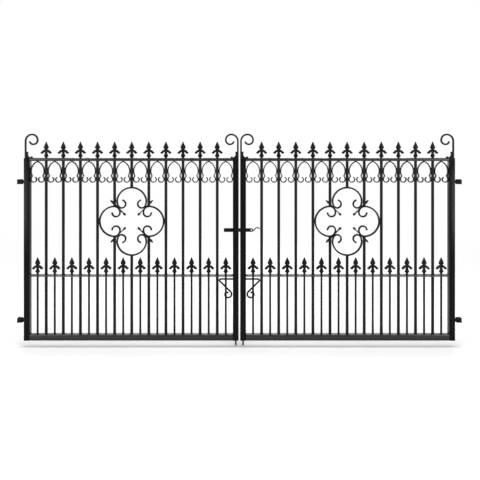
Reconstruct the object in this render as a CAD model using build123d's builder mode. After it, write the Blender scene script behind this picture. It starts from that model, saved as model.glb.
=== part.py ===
from build123d import *
import math
import os

os.makedirs("parts", exist_ok=True)

# A pair of wrought iron driveway gates, shut, seen from the road along +Y. X runs along the gates.
# The origin is the centre of the post face of the lower left hinge bracket. Sizes are in millimetres.

# The opening between the posts, and the gaps that the two leaves leave in it
opening_width = 3048
hinge_gap = 46
meeting_gap = 10
lower_hinge_height = 137
upper_hinge_height = 1088

# The frame of square tube, with its rails
stile_size = 40
stile_wall = 3
tube_corner = 3
bottom_rail_height = 40
mid_rail_bottom = 439
mid_rail_thickness = 8
top_rail_bottom = 1231
top_rail_height = 20
rail_depth = 40
rail_wall = 2.5

# The round bars: the main ones reach the top rail, the dog bars stand between them
bar_diameter = 20
bar_count = 11
dog_bar_diameter = 14
dog_bar_rise = 8.6
punched_clearance = 0.15

# The arrow-shaped finials, as heights above their seat and half widths
finial_profile = [(0, 8), (16, 15.5), (31, 6.5), (74, 19), (115, 1)]
barb_outline = [(0, 61), (26, 56), (39, 37), (24, 29), (0, 47)]
barb_thickness = 12

# The hoops under the top rail, each a pointed arch that ends in two small scrolls
hoop_strip = 7
hoop_depth = 16
hoop_shoulder_drop = 44
hoop_shoulder_radius = 20
hoop_shoulder_turn = 45
hoop_straight = 22
hoop_cusp_drop = 104
hoop_cusp_inset = 13.4
hoop_scroll_drop = 127
hoop_scroll_radius = 19.3
hoop_scroll_turn = 235

# The quatrefoil, four C scrolls with a leaf at each crossing, drawn for this half width between bars
quatrefoil_height = 815
quatrefoil_half_width = 225.5
lobe_strip = 8
lobe_depth = 16
upright_lobe_radius = 103.4
upright_lobe_offset = 130.4
upright_lobe_arcs = [(75, 45), (27, 235)]
upright_lobe_turn = 70
side_lobe_radius = 104.8
side_lobe_arcs = [(41.4, 103), (27, 175)]
side_lobe_turn = 85
leaf_outline = [(58, 0.5), (68, 9), (80, 4), (118, 3.5), (146, 6), (176, 7), (208, 0.5)]
leaf_thickness = 12

# The scrolls that stand on the stiles, and the leaf castings in their corners
scroll_bar = 12
scroll_stem = 117
scroll_turns = [(45, 90), (38, 90), (30, 90), (25, 80)]
corner_leaf_thickness = 14
corner_leaf_height = 44
corner_leaf_reach = 46
corner_leaf_tip = (14, 41)
corner_leaf_hollow = (11, 20)
corner_leaf_heel = (24, 5)
corner_leaf_toes = [(28, 7), (37, 13), (44, 4)]

# The hinges: a bracket for the post with its pin, and a bored eye welded to the stile
bracket_plate = 5
bracket_size = 38
bracket_ear = 8
pin_offset = 22
pin_diameter = 12
eye_radius = 12
eye_gap = 0.3
running_clearance = 0.05

# The slide latch between the leaves, and the sleeve that takes its tip
latch_height = 755
latch_bar_height = 25.6
latch_bar_thickness = 8
latch_tip_gap = 0.3
latch_bar_end = 98
latch_tail_reach = 34
latch_tail_rise = 14
latch_tail_crest = 18.7
latch_tail_strip = 6
latch_tail_root = 1
padlock_hole = 10
padlock_hole_inset = 15.4
slot_clearance = 0.3
sleeve_length = 62
sleeve_wall = 3

# The drop bolts behind the meeting stiles, with their curled handles and guides
drop_bolt_diameter = 12
drop_bolt_setback = 32
drop_bolt_tip = 47
drop_bolt_arm_height = 408.5
drop_bolt_bend = 12
handle_corner_reach = 126
handle_corner_bend = 9
handle_return_reach = 36.7
handle_return_drop = 88.3
handle_curl = [(24, 134), (18, 90), (14, 120)]
collar_radius = 10
collar_height = 8
guide_heights = [60, 350]
guide_thickness = 12
guide_width = 24

# How many sides the repeated round bars are drawn with, and how far a curve's facets may lie inside it
bar_sides = 10
dog_bar_sides = 6
bolt_sides = 8
curve_sag = 3.2
hoop_sag = 8

# Places that follow from the sizes above
foot = -lower_hinge_height
leaf_width = (opening_width - 2 * hinge_gap - meeting_gap) / 2
leaf_start = hinge_gap
leaf_end = leaf_start + leaf_width
middle_plane = Plane.YZ.offset(opening_width / 2)
clear_width = leaf_width - 2 * stile_size
hoop_width = (clear_width - bar_count * bar_diameter) / (bar_count + 1)
bar_pitch = hoop_width + bar_diameter
first_bay = leaf_start + stile_size + hoop_width / 2
bar_places = [first_bay + (i + 0.5) * bar_pitch for i in range(bar_count)]
bay_places = [first_bay + i * bar_pitch for i in range(bar_count + 1)]
bar_foot = foot + bottom_rail_height
mid_rail_top = foot + mid_rail_bottom + mid_rail_thickness
bar_head = foot + top_rail_bottom
leaf_top = bar_head + top_rail_height
middle_bar = bar_count // 2
quatrefoil_x = bar_places[middle_bar]
quatrefoil_z = foot + quatrefoil_height
side_lobe_reach = 2 * bar_pitch - bar_diameter / 2
panel_fit = side_lobe_reach / quatrefoil_half_width
upright_lobe_reach = (upright_lobe_offset + upright_lobe_radius) * panel_fit + lobe_strip / 2
side_lobe_offset = quatrefoil_half_width - side_lobe_radius - lobe_strip / 2
side_lobe_half_height = side_lobe_radius * panel_fit + lobe_strip / 2
hinge_heights = [foot + lower_hinge_height, foot + upper_hinge_height]
latch_z = foot + latch_height
drop_bolt_x = leaf_end - stile_size / 2


def write(name, piece):
    """Labels one finished piece and writes its STEP file."""
    piece.part.label = name
    export_step(piece.part, f"parts/{name}.step")


def write_pair(name, left_piece):
    """Writes a piece of the left leaf, and its mirror image as the right leaf's."""
    write(f"left_{name}", left_piece)
    with BuildPart() as right_piece:
        mirror(left_piece.part, about=middle_plane)
    write(f"right_{name}", right_piece)


def facet_points(edges, sag):
    """Gives points along connected lines and arcs, whose chords lie within sag of the arcs."""
    points = [edges[0] @ 0]
    for edge in edges:
        steps = 1
        if edge.geom_type == GeomType.CIRCLE:
            chord_turn = 2 * math.acos(1 - sag / edge.radius)
            steps = math.ceil(edge.length / edge.radius / chord_turn)
        points += [edge @ (step / steps) for step in range(1, steps + 1)]
    return points


def strip_face(edges, width, sag):
    """Makes the face of a flat bar seen edge on, mitred from facet to facet along the edges."""
    centre = facet_points(edges, sag)
    runs = [(after - before).normalized() for before, after in zip(centre, centre[1:])]
    left, right = [], []
    for point, back, ahead in zip(centre, [runs[0]] + runs, runs + [runs[-1]]):
        bisector = (back + ahead).normalized()
        across = Vector(-bisector.Y, bisector.X) * (width / 2 / bisector.dot(ahead))
        left.append(point + across)
        right.insert(0, point - across)
    return Face(Wire.make_polygon(left + right, close=True))


# Hinge stile: a tube with a closed top
with BuildPart() as hinge_stile:
    with BuildSketch(Plane.XY.offset(foot)) as tube:
        with Locations((leaf_start + stile_size / 2, 0)):
            Rectangle(stile_size, stile_size)
            chamfer(tube.vertices(), tube_corner / 2)
            Rectangle(stile_size - 2 * stile_wall, stile_size - 2 * stile_wall, mode=Mode.SUBTRACT)
    extrude(amount=leaf_top - foot)
    with BuildSketch(Plane.XY.offset(leaf_top - stile_wall)):
        with Locations((leaf_start + stile_size / 2, 0)):
            Rectangle(stile_size - 2 * stile_wall, stile_size - 2 * stile_wall)
    extrude(amount=stile_wall)
write_pair("hinge_stile", hinge_stile)

# Meeting stile: the same tube, slotted right through for the slide latch
with BuildPart() as meeting_stile:
    with BuildSketch(Plane.XY.offset(foot)) as tube:
        with Locations((leaf_end - stile_size / 2, 0)):
            Rectangle(stile_size, stile_size)
            chamfer(tube.vertices(), tube_corner / 2)
            Rectangle(stile_size - 2 * stile_wall, stile_size - 2 * stile_wall, mode=Mode.SUBTRACT)
    extrude(amount=leaf_top - foot)
    with BuildSketch(Plane.XY.offset(leaf_top - stile_wall)):
        with Locations((leaf_end - stile_size / 2, 0)):
            Rectangle(stile_size - 2 * stile_wall, stile_size - 2 * stile_wall)
    extrude(amount=stile_wall)
    with BuildSketch(Plane.YZ.offset(leaf_end - stile_size)):
        with Locations((0, latch_z)):
            Rectangle(latch_bar_thickness + 2 * slot_clearance, latch_bar_height + 2 * slot_clearance)
    extrude(amount=stile_size, mode=Mode.SUBTRACT)
write_pair("meeting_stile", meeting_stile)

# Bottom rail: a square tube that butts on both stiles
with BuildPart() as bottom_rail:
    with BuildSketch(Plane.YZ.offset(leaf_start + stile_size)) as tube:
        with Locations((0, foot + bottom_rail_height / 2)):
            Rectangle(rail_depth, bottom_rail_height)
            chamfer(tube.vertices(), tube_corner / 2)
            Rectangle(rail_depth - 2 * stile_wall, bottom_rail_height - 2 * stile_wall, mode=Mode.SUBTRACT)
    extrude(amount=clear_width)
write_pair("bottom_rail", bottom_rail)

# Top rail: a flatter tube, under the upper finials
with BuildPart() as top_rail:
    with BuildSketch(Plane.YZ.offset(leaf_start + stile_size)) as tube:
        with Locations((0, bar_head + top_rail_height / 2)):
            Rectangle(rail_depth, top_rail_height)
            chamfer(tube.vertices(), tube_corner / 2)
            Rectangle(rail_depth - 2 * rail_wall, top_rail_height - 2 * rail_wall, mode=Mode.SUBTRACT)
    extrude(amount=clear_width)
write_pair("top_rail", top_rail)

# Mid rail: a flat bar punched for every bar that passes through it
with BuildPart() as mid_rail:
    with BuildSketch(Plane.XY.offset(foot + mid_rail_bottom)):
        with Locations((leaf_start + stile_size + clear_width / 2, 0)):
            Rectangle(clear_width, rail_depth)
        with Locations([(x, 0) for x in bar_places]):
            RegularPolygon(bar_diameter / 2 + punched_clearance, bar_sides, mode=Mode.SUBTRACT)
        with Locations([(x, 0) for x in bay_places]):
            RegularPolygon(dog_bar_diameter / 2 + punched_clearance, dog_bar_sides, mode=Mode.SUBTRACT)
    extrude(amount=mid_rail_thickness)
write_pair("mid_rail", mid_rail)


def lobe_face(offset, radius, first_turn, inner_arcs):
    """Makes one half of a C scroll that opens towards the origin, with its back at +Y."""
    with BuildLine(mode=Mode.PRIVATE):
        back = (0, (offset + radius) * panel_fit)
        arcs = [JernArc(back, (-1, 0), radius * panel_fit, first_turn)]
        for inner_radius, turn in inner_arcs:
            arcs.append(JernArc(arcs[-1] @ 1, arcs[-1] % 1, inner_radius * panel_fit, turn))
    return strip_face(arcs, lobe_strip, curve_sag)


# Quatrefoil: two upright lobes, two side lobes and four leaves welded into one panel
with BuildPart() as quatrefoil:
    with BuildSketch(Plane((quatrefoil_x, 0, quatrefoil_z), x_dir=(1, 0, 0), z_dir=(0, -1, 0))):
        upright = lobe_face(upright_lobe_offset, upright_lobe_radius, upright_lobe_turn, upright_lobe_arcs)
        side = lobe_face(side_lobe_offset, side_lobe_radius, side_lobe_turn, side_lobe_arcs)
        for turn in (0, 180):
            for half in (upright, side.rotate(Axis.Z, 90)):
                add(half.rotate(Axis.Z, turn))
                add(half.mirror(Plane.YZ if half is upright else Plane.XZ).rotate(Axis.Z, turn))
    extrude(amount=lobe_depth / 2, both=True)
    with BuildSketch(Plane((quatrefoil_x, 0, quatrefoil_z), x_dir=(1, 0, 0), z_dir=(0, -1, 0))):
        with PolarLocations(0, 4, start_angle=45):
            Polygon(
                *[(reach * panel_fit, -half) for reach, half in leaf_outline],
                *[(reach * panel_fit, half) for reach, half in reversed(leaf_outline)],
                align=None,
            )
    extrude(amount=leaf_thickness / 2, both=True)
write_pair("quatrefoil", quatrefoil)

# Main bars: three are cut where the quatrefoil takes their place, and slotted over its leaves
with BuildPart() as main_bars:
    cut_bars = {
        middle_bar - 1: side_lobe_half_height,
        middle_bar: upright_lobe_reach,
        middle_bar + 1: side_lobe_half_height,
    }
    for index, x in enumerate(bar_places):
        if index in cut_bars:
            stretches = [
                (bar_foot, quatrefoil_z - cut_bars[index]),
                (quatrefoil_z + cut_bars[index], bar_head),
            ]
        else:
            stretches = [(bar_foot, bar_head)]
        for low, high in stretches:
            with BuildSketch(Plane.XY.offset(low)):
                with Locations((x, 0)):
                    RegularPolygon(bar_diameter / 2, bar_sides)
            extrude(amount=high - low)
    add(quatrefoil.part, mode=Mode.SUBTRACT)
write_pair("main_bars", main_bars)

# Dog bars: they pass through the mid rail and stand a little above it
dog_bar_head = mid_rail_top + dog_bar_rise
with BuildPart() as dog_bars:
    with BuildSketch(Plane.XY.offset(bar_foot)):
        with Locations([(x, 0) for x in bay_places]):
            RegularPolygon(dog_bar_diameter / 2, dog_bar_sides)
    extrude(amount=dog_bar_head - bar_foot)
write_pair("dog_bars", dog_bars)

# Finial casting: a four-sided spear over a diamond, with two barbs in the plane of the gate
with BuildPart() as finial:
    side_profile = [(half_width / math.sqrt(2), height) for height, half_width in finial_profile]
    side_profile += [(-across, height) for across, height in reversed(side_profile)]
    for side_turn, mode in ((45, Mode.ADD), (-45, Mode.INTERSECT)):
        with BuildSketch(Plane.XZ.rotated((0, 0, side_turn))):
            Polygon(*side_profile, align=None)
        extrude(amount=finial_profile[-1][0] / 2, both=True, mode=mode)
    with BuildSketch(Plane.XZ):
        with BuildLine():
            Polyline(*barb_outline, close=True)
        make_face()
        mirror(about=Plane.YZ)
    extrude(amount=barb_thickness / 2, both=True)

with BuildPart() as upper_finials:
    with Locations([(x, 0, leaf_top) for x in bar_places]):
        add(finial.part)
write_pair("upper_finials", upper_finials)

with BuildPart() as lower_finials:
    with Locations([(x, 0, dog_bar_head) for x in bay_places]):
        add(finial.part)
write_pair("lower_finials", lower_finials)

# Hoop: one half of the arch and its scroll are drawn, then mirrored
hoop_side = -(hoop_width - hoop_strip) / 2
hoop_leg = (hoop_side, -hoop_shoulder_drop - hoop_straight)
hoop_cusp = (hoop_side + hoop_cusp_inset - hoop_strip / 2, -hoop_cusp_drop)
with BuildPart() as hoop:
    with BuildSketch(Plane.XZ):
        with BuildLine(mode=Mode.PRIVATE):
            lower_leg = TangentArc(hoop_leg, hoop_cusp, tangent=(0, -1))
            leg = Line(hoop_leg, (hoop_side, -hoop_shoulder_drop))
            shoulder = JernArc(leg @ 1, leg % 1, hoop_shoulder_radius, -hoop_shoulder_turn)
            rise = TangentArc(shoulder @ 1, (0, -hoop_strip / 2), tangent=shoulder % 1)
            neck = TangentArc((hoop_side, -hoop_scroll_drop), hoop_cusp, tangent=(0, 1))
            curl = JernArc((hoop_side, -hoop_scroll_drop), (0, -1), hoop_scroll_radius, hoop_scroll_turn)
        add(strip_face([leg, shoulder, rise], hoop_strip, hoop_sag))
        add(strip_face([lower_leg], hoop_strip, hoop_sag))
        add(strip_face([neck], hoop_strip, hoop_sag))
        add(strip_face([curl], hoop_strip, hoop_sag))
        mirror(about=Plane.YZ)
    extrude(amount=hoop_depth / 2, both=True)

with BuildPart() as hoops:
    with Locations([(x, 0, bar_head) for x in bay_places]):
        add(hoop.part)
write_pair("hoops", hoops)

# Stile scrolls: one stands over each stile, flush with the outer edges of the leaf
stem_places = [(leaf_start + scroll_bar / 2, 1), (leaf_end - scroll_bar / 2, -1)]
with BuildPart() as stile_scrolls:
    for stem_x, turn_side in stem_places:
        with BuildSketch(Plane.XZ):
            with BuildLine(mode=Mode.PRIVATE):
                course = [Line((stem_x, leaf_top), (stem_x, leaf_top + scroll_stem))]
                for radius, turn in scroll_turns:
                    course.append(JernArc(course[-1] @ 1, course[-1] % 1, radius, -turn_side * turn))
            add(strip_face(course, scroll_bar, curve_sag))
        extrude(amount=scroll_bar / 2, both=True)
write_pair("stile_scrolls", stile_scrolls)

# Corner leaves: castings on the frame's corners, in the angle of each scroll's stem
with BuildPart() as corner_leaves:
    for stem_x, turn_side in stem_places:
        corner = Plane(
            (stem_x + turn_side * scroll_bar / 2, 0, leaf_top),
            x_dir=(turn_side, 0, 0),
            z_dir=(0, -turn_side, 0),
        )
        with BuildSketch(corner):
            with BuildLine():
                Polyline((0, 0), (0, corner_leaf_height), corner_leaf_tip)
                ThreePointArc(corner_leaf_tip, corner_leaf_hollow, corner_leaf_heel)
                Polyline(corner_leaf_heel, *corner_leaf_toes, (corner_leaf_reach, 0), (0, 0))
            make_face()
        extrude(amount=corner_leaf_thickness / 2, both=True)
write_pair("corner_leaves", corner_leaves)

# Hinge brackets: a plate for the post, two ears, and the pin that is welded into both
with BuildPart() as hinge_brackets:
    for height in hinge_heights:
        with BuildSketch(Plane.YZ):
            with Locations((0, height)):
                Rectangle(bracket_size, bracket_size)
        extrude(amount=bracket_plate)
        for ear_foot in (height - bracket_size / 2, height + bracket_size / 2 - bracket_ear):
            with BuildSketch(Plane.XY.offset(ear_foot)) as ear:
                Rectangle(pin_offset + eye_radius, 2 * eye_radius, align=(Align.MIN, Align.CENTER))
                chamfer(ear.vertices().group_by(Axis.X)[-1], eye_radius / 2)
            extrude(amount=bracket_ear)
        with Locations((pin_offset, 0, height)):
            Cylinder(pin_diameter / 2, bracket_size)
write_pair("hinge_brackets", hinge_brackets)

# Hinge eyes: a bored block between the ears, welded to the stile
eye_height = bracket_size - 2 * bracket_ear - 2 * eye_gap
with BuildPart() as hinge_eyes:
    for height in hinge_heights:
        with BuildSketch(Plane.XY.offset(height - eye_height / 2)) as knuckle:
            with Locations((leaf_start, 0)):
                Rectangle(
                    leaf_start - pin_offset + eye_radius, 2 * eye_radius, align=(Align.MAX, Align.CENTER)
                )
            chamfer(knuckle.vertices().group_by(Axis.X)[0], eye_radius / 2)
            with Locations((pin_offset, 0)):
                Circle(pin_diameter / 2 + running_clearance, mode=Mode.SUBTRACT)
        extrude(amount=eye_height)
write_pair("hinge_eyes", hinge_eyes)

# Latch sleeve: a flat tube on the left meeting stile that takes the tip of the slide latch
sleeve_end = leaf_end - stile_size
sleeve_bore = (latch_bar_thickness + 2 * slot_clearance, latch_bar_height + 2 * slot_clearance)
with BuildPart() as latch_sleeve:
    with BuildSketch(Plane.YZ.offset(sleeve_end - sleeve_length)):
        with Locations((0, latch_z)):
            Rectangle(sleeve_bore[0] + 2 * sleeve_wall, sleeve_bore[1] + 2 * sleeve_wall)
            Rectangle(*sleeve_bore, mode=Mode.SUBTRACT)
    extrude(amount=sleeve_length)
write("latch_sleeve", latch_sleeve)

# Slide latch: a flat bar with a padlock hole, whose end is drawn out into a curved tail
gate_middle = opening_width / 2
latch_left = leaf_end + latch_tip_gap
latch_right = gate_middle + latch_bar_end
with BuildPart() as slide_latch:
    with BuildSketch(Plane.XZ):
        with Locations((latch_left, latch_z)):
            Rectangle(latch_right - latch_left, latch_bar_height, align=(Align.MIN, Align.CENTER))
        with BuildLine(mode=Mode.PRIVATE):
            latch_top = latch_z + latch_bar_height / 2
            tail_start = (latch_right - latch_tail_root, latch_top - latch_tail_strip)
            tail_top = (latch_right + latch_tail_crest, latch_top + latch_tail_rise / 2)
            tail_end = (latch_right + latch_tail_reach, latch_top)
            tail = ThreePointArc(tail_start, tail_top, tail_end)
        add(strip_face([tail], latch_tail_strip, curve_sag))
        with Locations((latch_right - padlock_hole_inset, latch_z)):
            Circle(padlock_hole / 2, mode=Mode.SUBTRACT)
    extrude(amount=latch_bar_thickness / 2, both=True)
write("slide_latch", slide_latch)

# Drop bolt guides: two bored blocks on the back of each meeting stile
with BuildPart() as bolt_guides:
    for height in guide_heights:
        with BuildSketch(Plane.XY.offset(foot + height)) as guide:
            with Locations((drop_bolt_x, stile_size / 2)):
                Rectangle(
                    guide_width,
                    drop_bolt_setback - stile_size / 2 + guide_width / 2,
                    align=(Align.CENTER, Align.MIN),
                )
            chamfer(guide.vertices().group_by(Axis.Y)[-1], guide_width / 4)
            with Locations((drop_bolt_x, drop_bolt_setback)):
                bore_radius = drop_bolt_diameter / 2 + running_clearance
                RegularPolygon(bore_radius, 2 * bolt_sides, major_radius=False, mode=Mode.SUBTRACT)
        extrude(amount=guide_thickness)
write_pair("bolt_guides", bolt_guides)

# Drop bolt: one round bar, bent into a long handle that ends in a curl, with a stop collar
arm_z = foot + drop_bolt_arm_height
return_point = (drop_bolt_x - handle_return_reach, arm_z - handle_return_drop)
with BuildPart() as drop_bolt:
    with BuildLine(mode=Mode.PRIVATE):
        shank = FilletPolyline(
            (drop_bolt_x, foot - drop_bolt_tip),
            (drop_bolt_x, arm_z),
            (drop_bolt_x - handle_corner_reach, arm_z),
            return_point,
            radius=[drop_bolt_bend, handle_corner_bend],
        )
        curls = [shank]
        for radius, turn in handle_curl:
            curls.append(JernArc(curls[-1] @ 1, curls[-1] % 1, radius, -turn))
    bends = facet_points(shank.edges() + curls[1:], curve_sag)
    with BuildLine(Plane.XZ.offset(-drop_bolt_setback)) as route:
        Polyline(*[(bend.X, bend.Y) for bend in bends])
    with BuildSketch(Plane((drop_bolt_x, drop_bolt_setback, foot - drop_bolt_tip))):
        RegularPolygon(drop_bolt_diameter / 2, bolt_sides)
    sweep(path=route.wire(), transition=Transition.RIGHT)
    collar_base = foot + guide_heights[-1] + guide_thickness + eye_gap
    with BuildSketch(Plane.XY.offset(collar_base)):
        with Locations((drop_bolt_x, drop_bolt_setback)):
            RegularPolygon(collar_radius, bar_sides)
    extrude(amount=collar_height)
write_pair("drop_bolt", drop_bolt)
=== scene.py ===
import logging
import math
from dataclasses import dataclass
from enum import Enum

import bmesh
import bpy
from bmesh.types import BMEdge, BMesh, BMVert
from bpy.types import ID, Material, Node, NodeSocket, NodeTree, Object, World
from mathutils import Matrix, Vector


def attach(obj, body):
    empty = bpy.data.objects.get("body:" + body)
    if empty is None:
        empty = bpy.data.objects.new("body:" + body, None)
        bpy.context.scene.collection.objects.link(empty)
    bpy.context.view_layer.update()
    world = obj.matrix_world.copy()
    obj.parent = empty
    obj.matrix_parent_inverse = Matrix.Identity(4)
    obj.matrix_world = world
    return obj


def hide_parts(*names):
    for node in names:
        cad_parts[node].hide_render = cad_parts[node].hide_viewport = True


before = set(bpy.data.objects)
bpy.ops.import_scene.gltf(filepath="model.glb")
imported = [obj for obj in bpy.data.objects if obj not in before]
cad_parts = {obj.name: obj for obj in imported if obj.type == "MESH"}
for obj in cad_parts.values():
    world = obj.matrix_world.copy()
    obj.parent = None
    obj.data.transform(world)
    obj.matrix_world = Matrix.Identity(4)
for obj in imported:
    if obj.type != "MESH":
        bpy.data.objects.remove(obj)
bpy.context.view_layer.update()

LOG = logging.getLogger("driveway_gates")
MM = 0.001
SAME_PLACE = 1e-6
CREASE = 28.0
POST_HINGES = "post_hinges"

Rows = tuple[tuple[float, float], ...]


class Side(Enum):
    """The two leaves, by the word that their nodes' names begin with."""

    LEFT = "left"
    RIGHT = "right"


@dataclass(frozen=True)
class PaintFinish:
    """Satin black paint as it dries on one kind of metal."""

    slot: str
    colour: tuple[float, float, float]
    smoothest: float
    roughest: float
    bump: float
    shine: float
    peel: float = 0.4
    casting: float = 0.0
    dust: float = 0.3


class Finish(Enum):
    """The finishes of the gates, one for each kind of metal under the paint."""

    STILE = PaintFinish(
        "frame_black", (0.002, 0.002, 0.0022), smoothest=0.2, roughest=0.34, peel=0.2, bump=0.1, shine=0.08,
    )
    RAIL = PaintFinish(
        "frame_black", (0.003, 0.003, 0.0032), smoothest=0.22, roughest=0.36, peel=0.2, bump=0.1, shine=0.42,
    )
    ROUND_BAR = PaintFinish(
        "bars_black", (0.0048, 0.0048, 0.005), smoothest=0.3, roughest=0.44, peel=0.35, casting=0.06,
        bump=0.15, shine=0.13,
    )
    BENT_BAR = PaintFinish(
        "scrollwork_black", (0.0048, 0.0048, 0.005), smoothest=0.32, roughest=0.46, casting=0.12,
        bump=0.2, shine=0.13,
    )
    CASTING = PaintFinish(
        "cast_iron_black", (0.004, 0.004, 0.0042), smoothest=0.36, roughest=0.56, peel=0.3, casting=0.8,
        dust=0.4, bump=0.5, shine=0.13,
    )
    FITTING = PaintFinish(
        "fittings_black", (0.0036, 0.0036, 0.0038), smoothest=0.26, roughest=0.44, casting=0.15,
        bump=0.2, shine=0.09,
    )
    HINGE = PaintFinish(
        "hinge_steel_black", (0.003, 0.003, 0.0032), smoothest=0.3, roughest=0.5, casting=0.25,
        bump=0.25, shine=0.07,
    )
    WELD = PaintFinish(
        "frame_black", (0.0036, 0.0036, 0.0038), smoothest=0.36, roughest=0.56, casting=1.0,
        bump=0.6, shine=0.09,
    )


@dataclass(frozen=True)
class GateSizes:
    """The left leaf's places and sizes in metres, the same as the solids have."""

    middle: float = 1524 * MM
    foot: float = -137 * MM
    leaf_start: float = 46 * MM
    leaf_end: float = 1519 * MM
    leaf_top: float = 1114 * MM
    stile: float = 40 * MM
    top_rail: float = 20 * MM
    mid_rail: float = 8 * MM
    mid_rail_base: float = 302 * MM
    bar_radius: float = 10 * MM
    dog_bar_radius: float = 7 * MM
    dog_bar_head: float = 318.6 * MM
    quatrefoil_z: float = 678 * MM
    bars: int = 11

    @property
    def bar_foot(self) -> float:
        """The height of the bottom rail's top, where the bars stand."""
        return self.foot + self.stile

    @property
    def bar_head(self) -> float:
        """The height of the top rail's underside, where the main bars end."""
        return self.leaf_top - self.top_rail

    @property
    def mid_rail_top(self) -> float:
        """The height of the punched rail's top."""
        return self.mid_rail_base + self.mid_rail

    @property
    def pitch(self) -> float:
        """The distance from one main bar to the next."""
        return (self.leaf_end - self.leaf_start - 2 * self.stile + 2 * self.bar_radius) / (self.bars + 1)

    @property
    def first_bay(self) -> float:
        """The middle of the first bay along X."""
        return self.leaf_start + self.stile - self.bar_radius + self.pitch / 2

    @property
    def bar_places(self) -> list[float]:
        """The places of the main bars along X."""
        return [self.first_bay + (i + 0.5) * self.pitch for i in range(self.bars)]

    @property
    def bay_places(self) -> list[float]:
        """The middles of the bays between them along X."""
        return [self.first_bay + i * self.pitch for i in range(self.bars + 1)]


SIZES = GateSizes()


def verts_among(items: list[object]) -> list[BMVert]:
    """Picks the vertices out of what an operator gives back."""
    return [item for item in items if isinstance(item, BMVert)]


def reach_along(edge: BMEdge, axis: int) -> float:
    """Measures how far an edge goes along an axis, from 0 for X to 2 for Z."""
    return abs(edge.verts[0].co[axis] - edge.verts[1].co[axis])


def sharp_edges(mesh: BMesh, crease: float) -> list[BMEdge]:
    """Finds the edges where two faces meet at more than an angle in degrees."""
    limit = math.radians(crease)
    return [edge for edge in mesh.edges if len(edge.link_faces) == 2 and edge.calc_face_angle() > limit]


def round_edges(mesh: BMesh, edges: list[BMEdge], width: float, steps: int = 2) -> None:
    """Rounds the edges of a mesh.

    Args:
        mesh: The mesh.
        edges: Those of its edges that are rounded.
        width: How far the rounding reaches from each edge, in metres.
        steps: The number of facets in it.
    """
    bmesh.ops.bevel(
        mesh, geom=edges, offset=width, segments=steps, profile=0.5, affect="EDGES", clamp_overlap=True,
        material=-1,
    )


def turned(mesh: BMesh, degrees: float, axis: str = "Y") -> BMesh:
    """Turns a mesh about an axis through the origin and gives it back."""
    bmesh.ops.rotate(mesh, verts=mesh.verts, matrix=Matrix.Rotation(math.radians(degrees), 3, axis))
    return mesh


def arc_beside(across: float, along: float) -> tuple[float, float]:
    """Works out the arc that starts along a line and ends beside it.

    Args:
        across: How far the end lies to the left of the line.
        along: How far it lies along the line.

    Returns:
        The arc's radius, and its turn to the left in degrees.
    """
    return (across ** 2 + along ** 2) / (2 * abs(across)), 2 * math.degrees(math.atan2(across, along))


def ring_edges(verts: list[BMVert]) -> list[BMEdge]:
    """Finds the edges that join the given vertices.

    Args:
        verts: The vertices of one ring.

    Returns:
        The edges with both ends among them.
    """
    held = set(verts)
    found = (edge for vert in verts for edge in vert.link_edges if edge.other_vert(vert) in held)
    return list(dict.fromkeys(found))


@dataclass(frozen=True)
class BarSection:
    """The section of a bar: round, or flat with eased corners."""

    across: float
    depth: float
    corner: float = 0.0
    sides: int = 16

    def draw(self, mesh: BMesh) -> list[BMVert]:
        """Draws the section about the origin, square to Z.

        Args:
            mesh: The mesh that gets the ring.

        Returns:
            The vertices of the ring.
        """
        if not self.corner:
            bmesh.ops.create_circle(mesh, segments=self.sides, radius=self.across / 2)
            return mesh.verts[:]
        bmesh.ops.create_circle(mesh, cap_ends=True, segments=4, radius=math.sqrt(0.5))
        turned(mesh, 45, "Z")
        bmesh.ops.scale(mesh, verts=mesh.verts, vec=(self.across, self.depth, 1))
        bmesh.ops.bevel(
            mesh, geom=mesh.verts[:], offset=self.corner, segments=2, profile=0.5,
            affect="VERTICES", material=-1,
        )
        bmesh.ops.delete(mesh, geom=mesh.faces[:], context="FACES_ONLY")
        return mesh.verts[:]


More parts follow.
